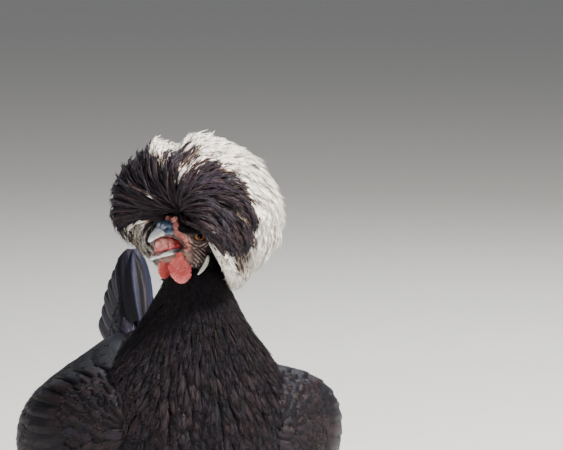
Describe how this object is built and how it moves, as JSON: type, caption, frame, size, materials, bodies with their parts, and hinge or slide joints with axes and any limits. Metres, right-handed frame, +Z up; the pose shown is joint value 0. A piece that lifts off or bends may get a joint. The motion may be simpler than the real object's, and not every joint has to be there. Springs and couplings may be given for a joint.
{
  "type": "polish crested chicken model",
  "caption": "Life-size still model of a white-crested black Polish hen, standing with her head turned, bill open and wings held a little out, for display on a flat surface.",
  "frame": {"origin": "middle of the hen's bounding box, on the floor under her feet", "axes": "+Z up; the body faces -Y, her left side is +X; the head is turned to her right"},
  "size_m": [0.2894, 0.394, 0.4575],
  "materials": {
    "black_feather": "soft, with a faint blue and brown sheen",
    "white_feather": "soft, matte",
    "red_skin": "grained, slightly moist",
    "pink_skin": "moist",
    "face_skin": "wrinkled, matte",
    "pale_lobe": "smooth, matte",
    "bill_horn": "semi-gloss horn",
    "iris_bay": "glossy, clear",
    "slate_scale": "scaled, satin",
    "claw_horn": "semi-gloss horn"
  },
  "bodies": {
    "root": {"torso": "black_feather", "neck": "black_feather", "head": "face_skin", "bill_upper": "bill_horn", "bill_lower": "bill_horn", "tongue": "pink_skin", "comb": "red_skin", "eye_left": "iris_bay", "eye_right": "iris_bay", "wattle_left": "red_skin", "wattle_right": "red_skin", "earlobe_left": "pale_lobe", "earlobe_right": "pale_lobe", "crest": "white_feather", "wing_left": "black_feather", "wing_right": "black_feather", "tail": "black_feather", "thigh_left": "black_feather", "thigh_right": "black_feather", "shank_left": "slate_scale", "shank_right": "slate_scale", "foot_left": "slate_scale", "foot_right": "slate_scale", "claw_left_inner": "claw_horn", "claw_left_middle": "claw_horn", "claw_left_outer": "claw_horn", "claw_left_hind": "claw_horn", "claw_right_inner": "claw_horn", "claw_right_middle": "claw_horn", "claw_right_outer": "claw_horn", "claw_right_hind": "claw_horn"}
  },
  "joints": []
}
